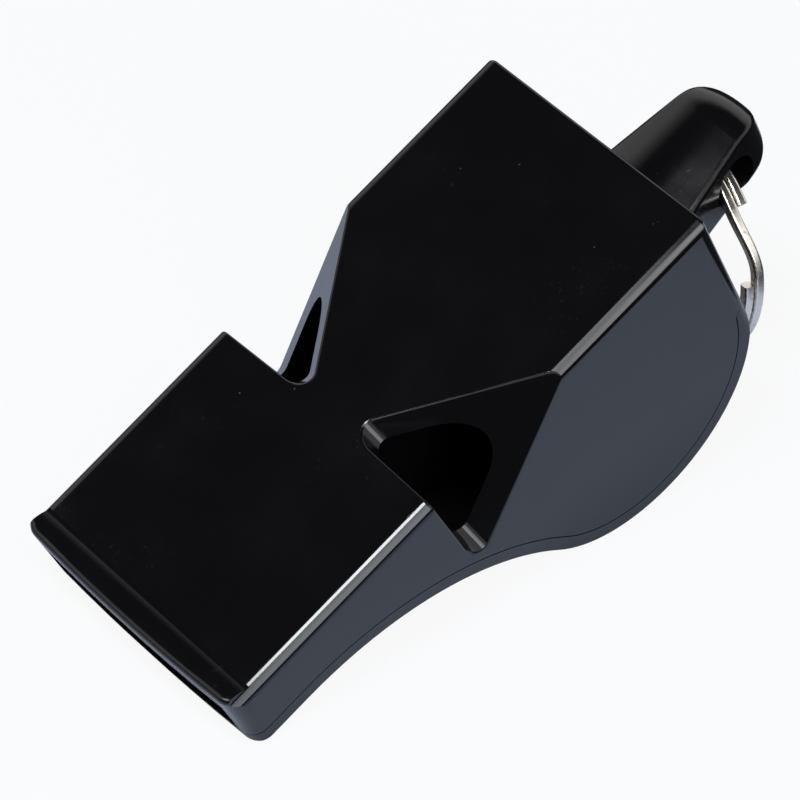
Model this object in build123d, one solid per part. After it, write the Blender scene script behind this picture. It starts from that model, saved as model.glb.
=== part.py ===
from build123d import *
from math import asin, atan2, cos, degrees, hypot, radians, sin, sqrt
import os

# The whistle is drawn in its deck frame: x from the mouth to the rear, y across, z up from the deck.
# Lengths are in millimetres and angles in degrees.

# Outer shape
body_width = 20.0
deck_length = 42.2
bulge_radius = 10.4
bulge_drop = 10.4
mouth_height = 5.65
mouth_flat_length = 4.3
mouth_corner_radius = 0.9
mouth_bow = 0.3
mouth_side_radius = 1.2
deck_edge_radius = 0.75
rear_edge_radius = 0.3
rear_corner_radius = 0.8

# Bite lip across the mouth end of the deck
lip_height = 0.5
lip_length = 1.9
lip_flat_length = 0.2
lip_crease_length = 0.34
lip_edge_radius = 0.4
lip_end_inset = 0.4
lip_root_depth = 1.2

# Walls
deck_thickness = 1.2
side_wall = 1.35
rear_wall = 1.5
cover_thickness = 1.0
seam_gap = 0.08
chamber_corner_radius = 3.5
partition_offset = 2.2
partition_thickness = 1.1

# Corner notches: their front wall, their reach along the deck and their lower end over the underside
notch_front = 17.6
notch_sweep = 0.25
notch_lean = 0.4
notch_inner_y = 1.65
notch_rear = 29.5
notch_foot = 0.8
notch_root_radius = 1.05
notch_edge_radius = 0.2

# Windway core and its three air channels
core_fit = 0.05
core_mouth_setback = 1.6
core_rear_setback = 0.1
upper_windway_mouth_height = 2.2
upper_windway_exit_height = 1.2
windway_wall = 0.6
lower_windway_height = 0.8

# Window of the middle chamber, in the hollow of the underside
lower_window_length = 3.2
lower_window_gap = 0.6

# Eyelet lug
lug_reach = 7.3
lug_drop = 10.6
lug_height = 5.6
lug_crown_radius = 9.0
lug_root_width = 8.74
lug_tip_width = 4.9
lug_tip_trim = 0.1
lug_side_margin = 0.3
lug_corner_radius = 2.35
lug_edge_radius = 0.5
lug_hole_setback = 1.3
lug_hole_offset = 0.6
lug_hole_radius = 1.3
lug_hole_straight = 0.6
lug_hole_mouth_radius = 1.85

# Split ring: two turns of flat wire with a crossover
ring_radius = 7.35
ring_wire_width = 0.7
ring_wire_thickness = 0.8
ring_wire_corner_radius = 0.2
ring_turn_gap = 0.1
ring_seat_gap = 0.25
ring_twist = 11.5
ring_first_end = 35.0
ring_cross_start = 36.0
ring_cross_end = 73.0
ring_second_end = 76.0
ring_cross_sections = 7

# One overrun serves all cuts
overrun = 2.0

half_width = body_width / 2
inner_half_width = half_width - side_wall
bulge_x = deck_length - bulge_radius

# The hollow of the underside is an arc that is tangent to the mouth's flat and to the bulge.
hollow_run = bulge_x - mouth_flat_length
hollow_fall = bulge_drop - mouth_height
hollow_radius = (hollow_run**2 + hollow_fall**2 - bulge_radius**2) / (2 * (bulge_radius + hollow_fall))
hollow_z = -mouth_height - hollow_radius
hollow_angle = atan2(-bulge_drop - hollow_z, hollow_run)
bulge_top_angle = asin(cover_thickness / (bulge_radius - cover_thickness))

# Resting on the lower lip and the bulge, the deck slopes down towards the mouth by this angle.
lip_to_bulge_run = bulge_x + mouth_bow - mouth_corner_radius
lip_to_bulge_fall = bulge_drop - mouth_height + mouth_corner_radius
rest_tilt = degrees(
    atan2(lip_to_bulge_fall, lip_to_bulge_run)
    + asin((bulge_radius - mouth_corner_radius) / hypot(lip_to_bulge_run, lip_to_bulge_fall))
)


def bulge_point(radius, angle):
    return (bulge_x + radius * cos(angle), -bulge_drop + radius * sin(angle))


def hollow_point(radius, angle):
    return (mouth_flat_length + radius * cos(angle), hollow_z + radius * sin(angle))


def underside_z(x):
    """Height of the underside behind the mouth's flat: on the hollow or, past its end, on the bulge."""
    hollow_end = mouth_flat_length + hollow_radius * cos(hollow_angle)
    if x < hollow_end:
        return hollow_z + sqrt(hollow_radius**2 - (x - mouth_flat_length) ** 2)
    return -bulge_drop - sqrt(bulge_radius**2 - (x - bulge_x) ** 2)


def underside_edges(inset, start_angle):
    """Underside from the rear of the bulge to the end of the mouth's flat, moved into the body by inset."""
    bulge = bulge_radius - inset
    hollow = hollow_radius + inset
    meet_angle = hollow_angle - radians(180)
    low_angle = (start_angle + meet_angle) / 2
    turn_angle = (hollow_angle + radians(90)) / 2
    meet = bulge_point(bulge, meet_angle)
    flat_end = (mouth_flat_length, -mouth_height + inset)
    bulge_arc = ThreePointArc(bulge_point(bulge, start_angle), bulge_point(bulge, low_angle), meet)
    hollow_arc = ThreePointArc(meet, hollow_point(hollow, turn_angle), flat_end)
    return [bulge_arc, hollow_arc]


def seam_profile(inset):
    """Side view of everything above the seam, with the slanted joint at the rear wall."""
    under = underside_edges(inset, -bulge_top_angle)
    seam_end = under[0] @ 0
    flat_end = under[-1] @ 1
    rear_low = (deck_length, -bulge_drop)
    outline = [
        Line(flat_end, (-mouth_bow, flat_end.Y)),
        Polyline((-mouth_bow, flat_end.Y), (-mouth_bow, 0), (deck_length, 0), rear_low, seam_end),
    ]
    return Plane.XZ * make_face(under + outline)


def plan_shape():
    """Plan view with the bowed mouth end and the rounded corners, as a tall block."""
    front = ThreePointArc((0, -half_width), (-mouth_bow, 0), (0, half_width))
    rear = [(deck_length, half_width), (deck_length, -half_width)]
    face = make_face([front, Polyline((0, half_width), *rear, (0, -half_width))])
    face = fillet(face.vertices().group_by(Axis.X)[-1], rear_corner_radius)
    face = fillet(face.vertices().group_by(Axis.X)[0], mouth_side_radius)
    height = bulge_drop + bulge_radius + lip_height + 2 * overrun
    return Pos(0, 0, -bulge_drop - bulge_radius - overrun) * extrude(face, height)


def spread(face, width):
    """Extrude a side view evenly to both sides."""
    return extrude(face, width / 2, both=True)


def bite_lip():
    top = lip_height
    slope = top / (lip_length - lip_flat_length)
    mid = (lip_length - lip_crease_length, slope * lip_crease_length)
    root = [(lip_length, 0), (lip_length, -lip_root_depth), (-mouth_bow, -lip_root_depth)]
    edges = [
        Polyline(*root, (-mouth_bow, top), (lip_flat_length, top)),
        TangentArc((lip_flat_length, top), mid, tangent=(1, 0)),
        TangentArc((lip_length, 0), mid, tangent=(-1, 0)),
    ]
    lip = spread(Plane.XZ * make_face(edges), body_width - 2 * lip_end_inset) & plan_shape()
    rim = lip.edges().group_by(Axis.Z)[-1].filter_by(Axis.Y, reverse=True)
    return fillet(rim, lip_edge_radius)


def notch_wedge():
    """Cutter for the far notch: a V groove from the deck to a foot on the side face, over the underside."""
    low_x = notch_front + notch_lean
    low_z = underside_z(low_x) + notch_foot
    deck_inner = Vector(notch_front + notch_sweep, notch_inner_y, 0)
    deck_front = Vector(notch_front, half_width, 0)
    deck_rear = Vector(notch_rear, half_width, 0)
    side_low = Vector(low_x, half_width, low_z)
    root = (side_low - deck_inner).normalized()
    to_front = deck_front - deck_inner
    to_front = (to_front - root * to_front.dot(root)).normalized()
    to_rear = deck_rear - deck_inner
    to_rear = (to_rear - root * to_rear.dot(root)).normalized()
    section = Plane(origin=deck_inner, x_dir=to_front, z_dir=root)
    across = to_rear.dot(section.y_dir)
    along = to_rear.dot(to_front)
    reach = body_width
    corner_x = reach * (1 + along)
    corner_y = reach * across
    vee = make_face(Polyline((0, 0), (reach, 0), (corner_x, corner_y), (reach * along, corner_y), close=True))
    vee = fillet(vee.vertices().sort_by_distance((0, 0, 0))[0], notch_root_radius)
    return extrude(section * vee, body_width, both=True)


def chamber_pocket(inner_y, outer_y, corner_radius):
    """One chamber, open below, from the core to the rear wall."""
    front = notch_front
    rear = deck_length - rear_wall
    depth = bulge_drop + bulge_radius - deck_thickness + overrun
    width = outer_y - inner_y
    centre = ((front + rear) / 2, (inner_y + outer_y) / 2, -deck_thickness - depth / 2)
    pocket = Pos(*centre) * Box(rear - front, width, depth)
    if corner_radius:
        edge = pocket.edges().filter_by(Axis.X).group_by(Axis.Z)[-1].sort_by(Axis.Y)[-1]
        pocket = fillet(edge, corner_radius)
    return pocket


def mouth_channel():
    """Space of the windway core, open to the mouth and below."""
    depth = bulge_drop + bulge_radius
    length = notch_front + mouth_bow + overrun
    centre = (notch_front - length / 2, 0, -deck_thickness - depth / 2)
    return Pos(*centre) * Box(length, 2 * inner_half_width, depth)


# The lug tapers from its root in the rear wall to its tip, and its hole is flared up to its side faces.
lug_tip_x = deck_length + lug_reach
lug_root_x = deck_length - rear_wall / 2
lug_end_x = lug_tip_x + lug_height / 2 - lug_tip_trim
lug_taper = (lug_root_width - lug_tip_width) / 2 / (lug_end_x - lug_root_x)
lug_hole_x = lug_tip_x - lug_hole_setback
lug_face_y = lug_root_width / 2 - lug_taper * (lug_hole_x - lug_root_x)
lug_hole_z = -lug_drop - lug_hole_offset


def lug_block():
    """Crowned bar with a round end, between two flat sides that taper towards the tip."""
    half_height = lug_height / 2
    bar_half = lug_root_width / 2 + lug_side_margin
    edge_height = half_height - lug_crown_radius + sqrt(lug_crown_radius**2 - bar_half**2)
    crown = ThreePointArc((-bar_half, edge_height), (0, half_height), (bar_half, edge_height))
    foot = Polyline((bar_half, edge_height), (bar_half, 0), (-bar_half, 0), (-bar_half, edge_height))
    upper = make_face([crown, foot])
    section = upper + mirror(upper, Plane.XZ)
    tip = Plane(origin=(lug_tip_x, 0, -lug_drop), x_dir=(0, 1, 0), z_dir=(-1, 0, 0))
    dome = revolve(tip * upper, Axis(tip.origin, (0, 1, 0)))
    bar = dome + extrude(tip * section, lug_tip_x - lug_root_x)
    root_half = lug_root_width / 2
    tip_half = lug_tip_width / 2
    tip_corners = [(lug_end_x, -tip_half), (lug_end_x, tip_half)]
    plan = make_face(Polyline((lug_root_x, -root_half), *tip_corners, (lug_root_x, root_half), close=True))
    plan = fillet(plan.vertices().group_by(Axis.X)[-1], lug_corner_radius)
    prism = extrude(plan, lug_drop + lug_height, both=True)
    block = bar & prism
    return fillet(new_edges(bar, prism, combined=block), lug_edge_radius)


def lug_bore():
    """Hole for the ring, flared towards both faces of the lug."""
    straight = lug_hole_straight / 2
    slope = (lug_hole_mouth_radius - lug_hole_radius) / (lug_face_y - straight)
    end_y = lug_face_y + overrun
    end_radius = lug_hole_mouth_radius + slope * overrun
    near_wall = [(end_radius, -end_y), (lug_hole_radius, -straight)]
    far_wall = [(lug_hole_radius, straight), (end_radius, end_y)]
    half = make_face(Polyline((0, -end_y), *near_wall, *far_wall, (0, end_y), close=True))
    return Pos(lug_hole_x, 0, lug_hole_z) * revolve(half, Axis.Y)


def whole_disc(radius):
    """Round bulge at full width, for cutting what lies against it."""
    return Pos(bulge_x, 0, -bulge_drop) * Rot(90, 0, 0) * Cylinder(radius, body_width)


def main_body():
    blank = spread(seam_profile(cover_thickness + seam_gap), body_width)
    blank = fillet(blank.edges().filter_by(Axis.X).group_by(Axis.Z)[-1], deck_edge_radius)
    rear_edge = blank.edges().filter_by(Axis.Y).group_by(Axis.Z)[-1].sort_by(Axis.X)[-1]
    blank = fillet(rear_edge, rear_edge_radius)
    shell = (blank & plan_shape()) + bite_lip()
    wedge = notch_wedge()
    for cutter in (wedge, mirror(wedge, Plane.XZ)):
        notched = shell - cutter
        shell = fillet(new_edges(shell, cutter, combined=notched), notch_edge_radius)
    shell -= mouth_channel()
    partition_y = partition_offset + partition_thickness
    side_chamber = chamber_pocket(partition_y, inner_half_width, chamber_corner_radius)
    shell -= side_chamber
    shell -= mirror(side_chamber, Plane.XZ)
    shell -= chamber_pocket(-partition_offset, partition_offset, 0)
    lug = lug_block() - whole_disc(bulge_radius + seam_gap)
    return shell + lug - lug_bore()


def underside_cover():
    outer = underside_edges(0, 0)
    inner = underside_edges(cover_thickness, -bulge_top_angle)
    low_z = -mouth_height
    corner = mouth_corner_radius
    front_x = -mouth_bow
    front_top = (front_x, low_z + cover_thickness)
    rest = [
        Line(outer[-1] @ 1, (front_x + corner, low_z)),
        TangentArc((front_x + corner, low_z), (front_x, low_z + corner), tangent=(-1, 0)),
        Line((front_x, low_z + corner), front_top),
        Line(front_top, inner[-1] @ 1),
        Line(inner[0] @ 0, outer[0] @ 0),
    ]
    skin = spread(Plane.XZ * make_face(outer + inner + rest), body_width) & plan_shape()
    window_x = notch_front + lower_window_gap + lower_window_length / 2
    depth = bulge_drop + bulge_radius
    window = Pos(window_x, 0, -depth / 2) * Box(lower_window_length, 2 * partition_offset, depth)
    return skin - window


def windway_core():
    """Block in the mouthpiece: two air channels under the deck and one over the cover."""
    profile = seam_profile(cover_thickness + seam_gap + core_fit)
    block = spread(profile, 2 * (inner_half_width - core_fit)) & mouth_channel()
    rear = notch_front - core_rear_setback
    front = core_mouth_setback
    height = bulge_drop + bulge_radius
    top = -deck_thickness - core_fit
    trim = Pos((front + rear) / 2, 0, top - height / 2) * Box(rear - front, body_width, height)
    block = block & trim
    far_y = inner_half_width - core_fit - windway_wall
    near_y = partition_offset + windway_wall
    groove_outline = Polyline((front - overrun, top + overrun), (rear + overrun, top + overrun),
                              (rear + overrun, top - upper_windway_exit_height),
                              (rear, top - upper_windway_exit_height),
                              (front, top - upper_windway_mouth_height),
                              (front - overrun, top - upper_windway_mouth_height), close=True)
    groove = spread(Plane.XZ * make_face(groove_outline), far_y - near_y)
    block -= Pos(0, (near_y + far_y) / 2, 0) * groove
    block -= Pos(0, -(near_y + far_y) / 2, 0) * groove
    low_profile = spread(seam_profile(cover_thickness + lower_windway_height), body_width)
    channel = Box(2 * deck_length, 2 * (partition_offset - windway_wall), 2 * height)
    return block - (channel - low_profile)


def ring_section(angle, shift):
    """Wire section at an angle round the ring, moved along the ring's axis."""
    turn = radians(angle)
    place = Plane(
        origin=(ring_radius * cos(turn), ring_radius * sin(turn), shift),
        x_dir=(cos(turn), sin(turn), 0),
        z_dir=(-sin(turn), cos(turn), 0),
    )
    return place * RectangleRounded(ring_wire_thickness, ring_wire_width, ring_wire_corner_radius)


def ring_turn(start, end, shift):
    return revolve(ring_section(start, shift), Axis.Z, end - start)


def split_ring():
    """Ring about z, with angle 0 at its top: one turn, the crossover and the other turn, end to end."""
    layer = (ring_wire_width + ring_turn_gap) / 2
    full = 360
    first = ring_turn(ring_second_end, full + ring_cross_start, -layer)
    sections = []
    for step in range(ring_cross_sections):
        share = step / (ring_cross_sections - 1)
        smooth = share * share * (3 - 2 * share)
        angle = ring_cross_start + share * (ring_cross_end - ring_cross_start)
        sections.append(ring_section(angle, layer * (2 * smooth - 1)))
    crossover = loft(sections)
    second = ring_turn(ring_cross_end, full + ring_first_end, layer)
    return first + crossover + second


# The ring hangs by its inner edge from the lower edge of the hole's flared mouths.
twist = radians(ring_twist)
pack_half = ring_wire_width + ring_turn_gap / 2
ring_inner_radius = ring_radius - ring_wire_thickness / 2
seat_x = lug_face_y * sin(twist) / cos(twist) + pack_half / cos(twist)
seat_depth = sqrt(lug_hole_mouth_radius**2 - seat_x**2)
ring_sag = ring_inner_radius - sqrt(ring_inner_radius**2 - (lug_face_y / cos(twist)) ** 2)
ring_drop = seat_depth - ring_sag - ring_seat_gap - ring_wire_thickness / 2

# Rest frame: the deck frame is tilted, the bulge stands on z 0, and the ring hangs from the lug.
tilt = Rot(0, -rest_tilt, 0)
bulge_centre = (tilt * Pos(bulge_x, 0, -bulge_drop)).position
hole_centre = (tilt * Pos(lug_hole_x, 0, lug_hole_z)).position
lift = bulge_radius - bulge_centre.Z
ring_plane = Plane(
    origin=(hole_centre.X, 0, hole_centre.Z + lift - ring_drop - ring_radius),
    x_dir=(0, 0, 1),
    z_dir=(cos(twist), -sin(twist), 0),
)
pieces = {
    "main_body": Pos(0, 0, lift) * tilt * main_body(),
    "underside_cover": Pos(0, 0, lift) * tilt * underside_cover(),
    "windway_core": Pos(0, 0, lift) * tilt * windway_core(),
    "split_ring": ring_plane * split_ring(),
}
box = Compound(list(pieces.values())).bounding_box()
centred = Pos(-box.center().X, -box.center().Y, 0)

os.makedirs("parts", exist_ok=True)
for name, piece in pieces.items():
    export_step(centred * piece, "parts/" + name + ".step")
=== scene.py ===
from math import pi
import bpy
from mathutils import Matrix, Vector


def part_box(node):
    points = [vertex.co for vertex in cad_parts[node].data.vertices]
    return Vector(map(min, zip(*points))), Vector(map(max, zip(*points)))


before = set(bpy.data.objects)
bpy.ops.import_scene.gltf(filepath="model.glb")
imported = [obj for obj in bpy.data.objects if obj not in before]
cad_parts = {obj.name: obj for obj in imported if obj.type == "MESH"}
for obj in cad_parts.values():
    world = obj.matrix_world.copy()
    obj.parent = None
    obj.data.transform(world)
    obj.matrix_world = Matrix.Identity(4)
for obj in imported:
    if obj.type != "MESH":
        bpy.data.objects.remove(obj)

scene = bpy.context.scene
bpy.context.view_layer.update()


# Finishes: heights in metres
black = (0.0028, 0.0028, 0.0034, 1.0)
core_black = (0.006, 0.006, 0.0065, 1.0)
plastic_ior = 1.45
dust_tone = (0.05, 0.05, 0.053, 1.0)
dust_roughness = 0.5
scratch_roughness = 0.10
scratch_depth = 0.0000008
grain_height = 0.0000004
bright_nickel = (0.833, 0.785, 0.714, 1.0)
rubbed_nickel = (0.52, 0.485, 0.432, 1.0)
smooth_wire, dull_wire = 0.16, 0.3
line_roughness = 0.12
line_wander = 0.0001
drawing_height = 0.000003

# Background: the paper's own colour, the share of white that rays see on it, and the tones round it
paper_colour = (0.50, 0.565, 0.715, 1.0)
white_to_camera = 0.92
white_to_mirrors = 0.1
white = (1.0, 1.0, 1.0, 1.0)
backdrop_tone = (0.957, 0.963, 0.974, 1.0)
ceiling_tone = (0.03, 0.031, 0.036, 1.0)


# Node helpers
def add(tree, kind, inputs=None, **settings):
    node = tree.nodes.new(kind)
    for name, value in settings.items():
        setattr(node, name, value)
    for socket, value in (inputs or {}).items():
        if isinstance(value, bpy.types.NodeSocket):
            tree.links.new(value, node.inputs[socket])
        else:
            node.inputs[socket].default_value = value
    return node


def math(tree, operation, first, second=0.0):
    return add(tree, "ShaderNodeMath", {0: first, 1: second}, operation=operation).outputs[0]


def remap(tree, value, low, high, to_low, to_high):
    node = add(tree, "ShaderNodeMapRange", {0: value, 1: low, 2: high, 3: to_low, 4: to_high}, clamp=True)
    return node.outputs[0]


def noise(tree, place, scale, detail=2.0, rough=0.5):
    node = add(tree, "ShaderNodeTexNoise",
               {"Vector": place, "Scale": scale, "Detail": detail, "Roughness": rough})
    return node.outputs["Fac"]


def turned(tree, place, angles, stretch):
    node = add(tree, "ShaderNodeMapping", {"Vector": place, "Rotation": angles, "Scale": stretch})
    return node.outputs[0]


def mixed_colour(tree, share, first, second):
    return add(tree, "ShaderNodeMix", {0: share, 6: first, 7: second}, data_type="RGBA").outputs[2]


def new_material(name):
    material = bpy.data.materials.new(name)
    material.use_nodes = True
    tree = material.node_tree
    tree.nodes.clear()
    output = add(tree, "ShaderNodeOutputMaterial")
    place = add(tree, "ShaderNodeTexCoord").outputs["Object"]
    return material, tree, output, place


def scratch_layer(tree, place, angles, stretch, low, high):
    """Thin straight marks, 1 on a mark and 0 beside it, in patches."""
    lines = noise(tree, turned(tree, place, angles, stretch), scale=1.0, detail=1.0)
    patches = remap(tree, noise(tree, place, scale=160.0), 0.48, 0.62, 0.0, 1.0)
    return math(tree, "MULTIPLY", remap(tree, lines, low, high, 0.0, 1.0), patches)


def dust_layer(tree, place, scale, size, share):
    """Round specks in some of the cells, 1 on a speck."""
    cells = add(tree, "ShaderNodeTexVoronoi", {"Vector": place, "Scale": scale, "Randomness": 1.0})
    speck = remap(tree, cells.outputs["Distance"], size * 0.6, size, 1.0, 0.0)
    pick = add(tree, "ShaderNodeSeparateColor", {0: cells.outputs["Color"]}).outputs[0]
    return math(tree, "MULTIPLY", speck, math(tree, "LESS_THAN", pick, share))


def plastic(name, colour, gloss, dust_share, wave_height):
    """Moulded black plastic: slow waves of the mould, fine grain, smears, scratches and dust."""
    material, tree, output, place = new_material(name)
    smear = noise(tree, place, scale=190.0, detail=3.0)
    grain = noise(tree, place, scale=7000.0, detail=1.0)
    wave = noise(tree, place, scale=110.0, detail=1.0)
    marks = scratch_layer(tree, place, (0.0, 0.48, 0.6), (60.0, 5200.0, 5200.0), 0.69, 0.74)
    cross = scratch_layer(tree, place, (0.0, 0.48, -0.5), (70.0, 4300.0, 4300.0), 0.70, 0.75)
    scratches = math(tree, "MAXIMUM", marks, cross)
    coarse = dust_layer(tree, place, scale=420.0, size=0.045, share=dust_share)
    fine = dust_layer(tree, place, scale=900.0, size=0.05, share=dust_share * 0.6)
    dust = math(tree, "MAXIMUM", coarse, fine)
    rough = remap(tree, smear, 0.35, 0.7, gloss * 0.8, gloss * 1.35)
    rough = math(tree, "ADD", rough, math(tree, "MULTIPLY", scratches, scratch_roughness))
    rough = math(tree, "ADD", rough, math(tree, "MULTIPLY", dust, dust_roughness))
    tone = mixed_colour(tree, dust, colour, dust_tone)
    height = math(tree, "MULTIPLY", wave, wave_height)
    height = math(tree, "ADD", height, math(tree, "MULTIPLY", grain, grain_height))
    height = math(tree, "SUBTRACT", height, math(tree, "MULTIPLY", scratches, scratch_depth))
    bump = add(tree, "ShaderNodeBump", {"Strength": 1.0, "Distance": 1.0, "Height": height}).outputs[0]
    shader = add(tree, "ShaderNodeBsdfPrincipled",
                 {"Base Color": tone, "Roughness": rough, "Normal": bump, "IOR": plastic_ior})
    tree.links.new(shader.outputs[0], output.inputs[0])
    return material


def plated_wire(name, centre, axis):
    """Nickel-plated wire: drawing lines round the ring, dull patches and dark rubbed spots."""
    material, tree, output, place = new_material(name)
    arm = add(tree, "ShaderNodeVectorMath", {0: place, 1: centre}, operation="SUBTRACT").outputs[0]
    along = add(tree, "ShaderNodeVectorMath", {0: arm, 1: axis}, operation="DOT_PRODUCT").outputs["Value"]
    reach = add(tree, "ShaderNodeVectorMath", {0: arm}, operation="LENGTH").outputs["Value"]
    wander = math(tree, "MULTIPLY", noise(tree, place, scale=300.0), line_wander)
    polar = add(tree, "ShaderNodeCombineXYZ", {0: along, 1: reach, 2: wander}).outputs[0]
    lines = noise(tree, polar, scale=14000.0, detail=2.0)
    dull = noise(tree, place, scale=900.0, detail=3.0)
    rubbed = remap(tree, noise(tree, place, scale=1600.0, detail=2.0), 0.62, 0.72, 0.0, 1.0)
    rough = remap(tree, dull, 0.35, 0.7, smooth_wire, dull_wire)
    rough = math(tree, "ADD", rough, math(tree, "MULTIPLY", lines, line_roughness))
    tone = mixed_colour(tree, rubbed, bright_nickel, rubbed_nickel)
    height = math(tree, "MULTIPLY", lines, drawing_height)
    bump = add(tree, "ShaderNodeBump", {"Strength": 1.0, "Distance": 1.0, "Height": height}).outputs[0]
    shader = add(tree, "ShaderNodeBsdfPrincipled",
                 {"Base Color": tone, "Metallic": 1.0, "Roughness": rough, "Normal": bump})
    tree.links.new(shader.outputs[0], output.inputs[0])
    return material


# Ring centre and axis, for the lines along its wire
ring_low, ring_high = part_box("split_ring")
ring_centre = (ring_low + ring_high) / 2
ring_axis = (0.98, -0.199, 0.0)

finishes = {
    "main_body": (
        plastic("body_plastic", black, gloss=0.12, dust_share=0.14, wave_height=0.000014), "body_plastic"),
    "underside_cover": (
        plastic("cover_plastic", black, gloss=0.13, dust_share=0.12, wave_height=0.000016), "cover_plastic"),
    "windway_core": (
        plastic("core_plastic", core_black, gloss=0.34, dust_share=0.05, wave_height=0.00001), "core_plastic"),
    "split_ring": (plated_wire("ring_steel", ring_centre, ring_axis), "ring_steel"),
}
for node, (material, slot) in finishes.items():
    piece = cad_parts[node]
    piece.data.materials.clear()
    piece.data.materials.append(material)


def seen_or_mirrored(tree):
    """Two values: 1 on rays from the camera, and 1 on rays that a mirror or glass passes on."""
    ray = add(tree, "ShaderNodeLightPath").outputs
    mirrored = math(tree, "MAXIMUM", ray["Is Glossy Ray"], ray["Is Transmission Ray"])
    return ray["Is Camera Ray"], mirrored


# Floor: a pale sheet under the whistle
def sheet_material():
    material, tree, output, place = new_material("floor_white")
    fibre = noise(tree, place, scale=900.0, detail=3.0)
    bump = add(tree, "ShaderNodeBump", {"Strength": 0.1, "Distance": 0.00002, "Height": fibre}).outputs[0]
    seen, mirrored = seen_or_mirrored(tree)
    paper = add(tree, "ShaderNodeBsdfDiffuse", {"Color": paper_colour, "Normal": bump}).outputs[0]
    glow = add(tree, "ShaderNodeEmission", {"Color": white, "Strength": 1.0}).outputs[0]
    seen_white = math(tree, "MULTIPLY", seen, white_to_camera)
    white_share = math(tree, "MAXIMUM", seen_white, math(tree, "MULTIPLY", mirrored, white_to_mirrors))
    mixed = add(tree, "ShaderNodeMixShader", {0: white_share, 1: paper, 2: glow}).outputs[0]
    tree.links.new(mixed, output.inputs[0])
    return material


# Its corners, measured towards the camera and to the right, with the far right one cut off
to_camera = Vector((-0.719, -0.695, 0.0))
to_right = Vector((0.695, -0.719, 0.0))
corners = [(0.034, -0.065), (0.034, 0.042), (-0.006, 0.042),
           (-0.05, 0.028), (-0.075, 0.0), (-0.075, -0.065)]
mesh = bpy.data.meshes.new("floor")
places = [to_camera * near + to_right * side for near, side in corners]
mesh.from_pydata(places, [], [range(len(corners))])
floor = bpy.data.objects.new("floor", mesh)
scene.collection.objects.link(floor)
floor.data.materials.append(sheet_material())

# Surroundings: near white to the camera. Mirrors show white walls round the horizon under a dark ceiling.
# Wall heights are the upward part of a ray's direction.
wall_foot = (0.05, 0.15)
wall_top = (0.60, 0.77)
world = bpy.data.worlds.new("studio")
scene.world = world
world.use_nodes = True
tree = world.node_tree
tree.nodes.clear()
seen, mirrored = seen_or_mirrored(tree)
direction = add(tree, "ShaderNodeTexCoord").outputs["Generated"]
height = add(tree, "ShaderNodeSeparateXYZ", {0: direction}).outputs[2]
above_foot = remap(tree, height, *wall_foot, 0.0, 1.0)
walls = math(tree, "MULTIPLY", above_foot, remap(tree, height, *wall_top, 1.0, 0.0))
around = mixed_colour(tree, walls, ceiling_tone, white)
around = mixed_colour(tree, mirrored, ceiling_tone, around)
tone = mixed_colour(tree, seen, around, backdrop_tone)
shell = add(tree, "ShaderNodeBackground", {0: tone, 1: 1.0})
sky = add(tree, "ShaderNodeOutputWorld")
tree.links.new(shell.outputs[0], sky.inputs[0])


# Softboxes, placed in the deck's own tilted frame
deck_tilt = 0.48344
deck_turn = Matrix.Rotation(-deck_tilt, 3, "Y")
deck_shift = Vector((-0.025598, 0.0, 0.004827))


def softbox(name, centre, facing, along, size, radiance, colour):
    """Rectangular light with its first side along a direction and its brightness given as radiance."""
    light = bpy.data.lights.new(name, "AREA")
    light.shape = "RECTANGLE"
    light.size, light.size_y = size
    light.energy = radiance * pi * size[0] * size[1]
    light.color = colour
    lamp = bpy.data.objects.new(name, light)
    scene.collection.objects.link(lamp)
    out = -(deck_turn @ Vector(facing)).normalized()
    side = deck_turn @ Vector(along)
    side = (side - out * side.dot(out)).normalized()
    axes = Matrix((side, out.cross(side), out)).transposed()
    lamp.matrix_world = Matrix.Translation(deck_turn @ Vector(centre) + deck_shift) @ axes.to_4x4()


cool_white = (0.97, 0.985, 1.0)
pale_blue = (0.84, 0.91, 1.0)
plain_white = (1.0, 1.0, 1.0)
down = (0.0, 0.0, -1.0)
along_body = (1.0, 0.0, 0.0)
across_body = (0.0, 1.0, 0.0)
wall_facing = (0.0, 0.824, -0.568)
ridge_facing = (0.0, 0.86, -0.51)
front_facing = (0.53, 0.08, -0.84)
softbox("key", (0.039, -0.015, 0.29), down, along_body, (0.042, 0.14), 28.0, cool_white)
softbox("near_front", (0.037, -0.20, 0.145), wall_facing, along_body, (0.05, 0.352), 4.4, pale_blue)
softbox("near_rear", (0.079, -0.20, 0.145), wall_facing, along_body, (0.03, 0.352), 4.4, cool_white)
softbox("top_rear", (0.080, -0.02, 0.29), down, along_body, (0.03, 0.16), 4.4, cool_white)
softbox("ridge", (0.118, -0.25, 0.15), ridge_facing, along_body, (0.036, 0.22), 4.5, cool_white)
softbox("front", (-0.149, -0.024, 0.252), front_facing, across_body, (0.16, 0.1), 5.0, plain_white)

# Camera at the photo's angle
camera_data = bpy.data.cameras.new("camera")
camera_data.sensor_width = 36.0
camera_data.lens = 216.0
camera_data.clip_start = 0.01
camera_data.clip_end = 10.0
camera = bpy.data.objects.new("camera", camera_data)
scene.collection.objects.link(camera)
right = Vector((0.7428414, -0.66536832, 0.07397062))
up = Vector((0.42483031, 0.55389999, 0.71604051))
back = Vector((-0.51740299, -0.50047957, 0.69412847))
eye = Vector((-0.16028607, -0.15169587, 0.22080883))
camera.matrix_world = Matrix.Translation(eye) @ Matrix((right, up, back)).transposed().to_4x4()
scene.camera = camera
scene.view_settings.view_transform = "Standard"
